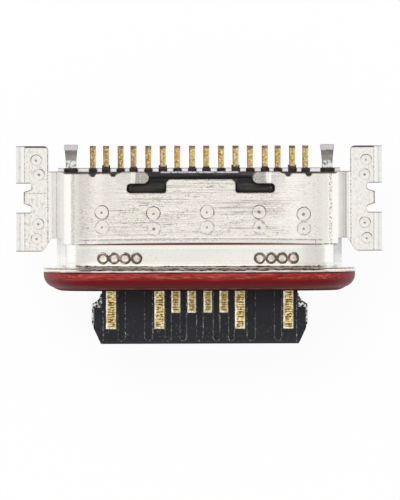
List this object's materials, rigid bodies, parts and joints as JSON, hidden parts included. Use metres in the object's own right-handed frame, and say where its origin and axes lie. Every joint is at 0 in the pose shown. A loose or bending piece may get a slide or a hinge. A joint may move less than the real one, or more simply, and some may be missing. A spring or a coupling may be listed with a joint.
{
  "type": "waterproof usb-c socket",
  "caption": "Board-sunk USB-C socket with a bare contact tongue, a silicone seal ring on a flanged collar, a spot-welded cover with folded pegs and a comb of solder tails",
  "frame": {"origin": "centre of the mouth, on the plane of the seal's front edge", "axes": "-Y is the way the plug leaves, +Y points to the solder tails, +Z stands up from the board, X runs across the mouth"},
  "size_m": [0.0114, 0.0062, 0.0038],
  "materials": {
    "silicone": "dark red silicone, satin",
    "drawn_steel": "smooth drawn stainless steel",
    "cover_steel": "stamped stainless steel, finely brushed across",
    "plate_steel": "stamped steel, matt grey with bright edges",
    "black_moulding": "black moulded plastic, satin",
    "gold_plating": "gold plated copper alloy"
  },
  "bodies": {
    "root": {"seal_ring": "silicone", "inner_sleeve": "drawn_steel", "flange_collar": "drawn_steel", "top_cover": "cover_steel", "bottom_bracket": "cover_steel", "tongue_insulator": "black_moulding", "upper_contact_carrier": "black_moulding", "lower_contact_carrier": "black_moulding", "mid_plate": "plate_steel", "contact_a1": "gold_plating", "contact_a4": "gold_plating", "contact_a5": "gold_plating", "contact_a6": "gold_plating", "contact_a7": "gold_plating", "contact_a8": "gold_plating", "contact_a9": "gold_plating", "contact_a12": "gold_plating", "contact_b1": "gold_plating", "contact_b4": "gold_plating", "contact_b5": "gold_plating", "contact_b6": "gold_plating", "contact_b7": "gold_plating", "contact_b8": "gold_plating", "contact_b9": "gold_plating", "contact_b12": "gold_plating"}
  },
  "joints": []
}
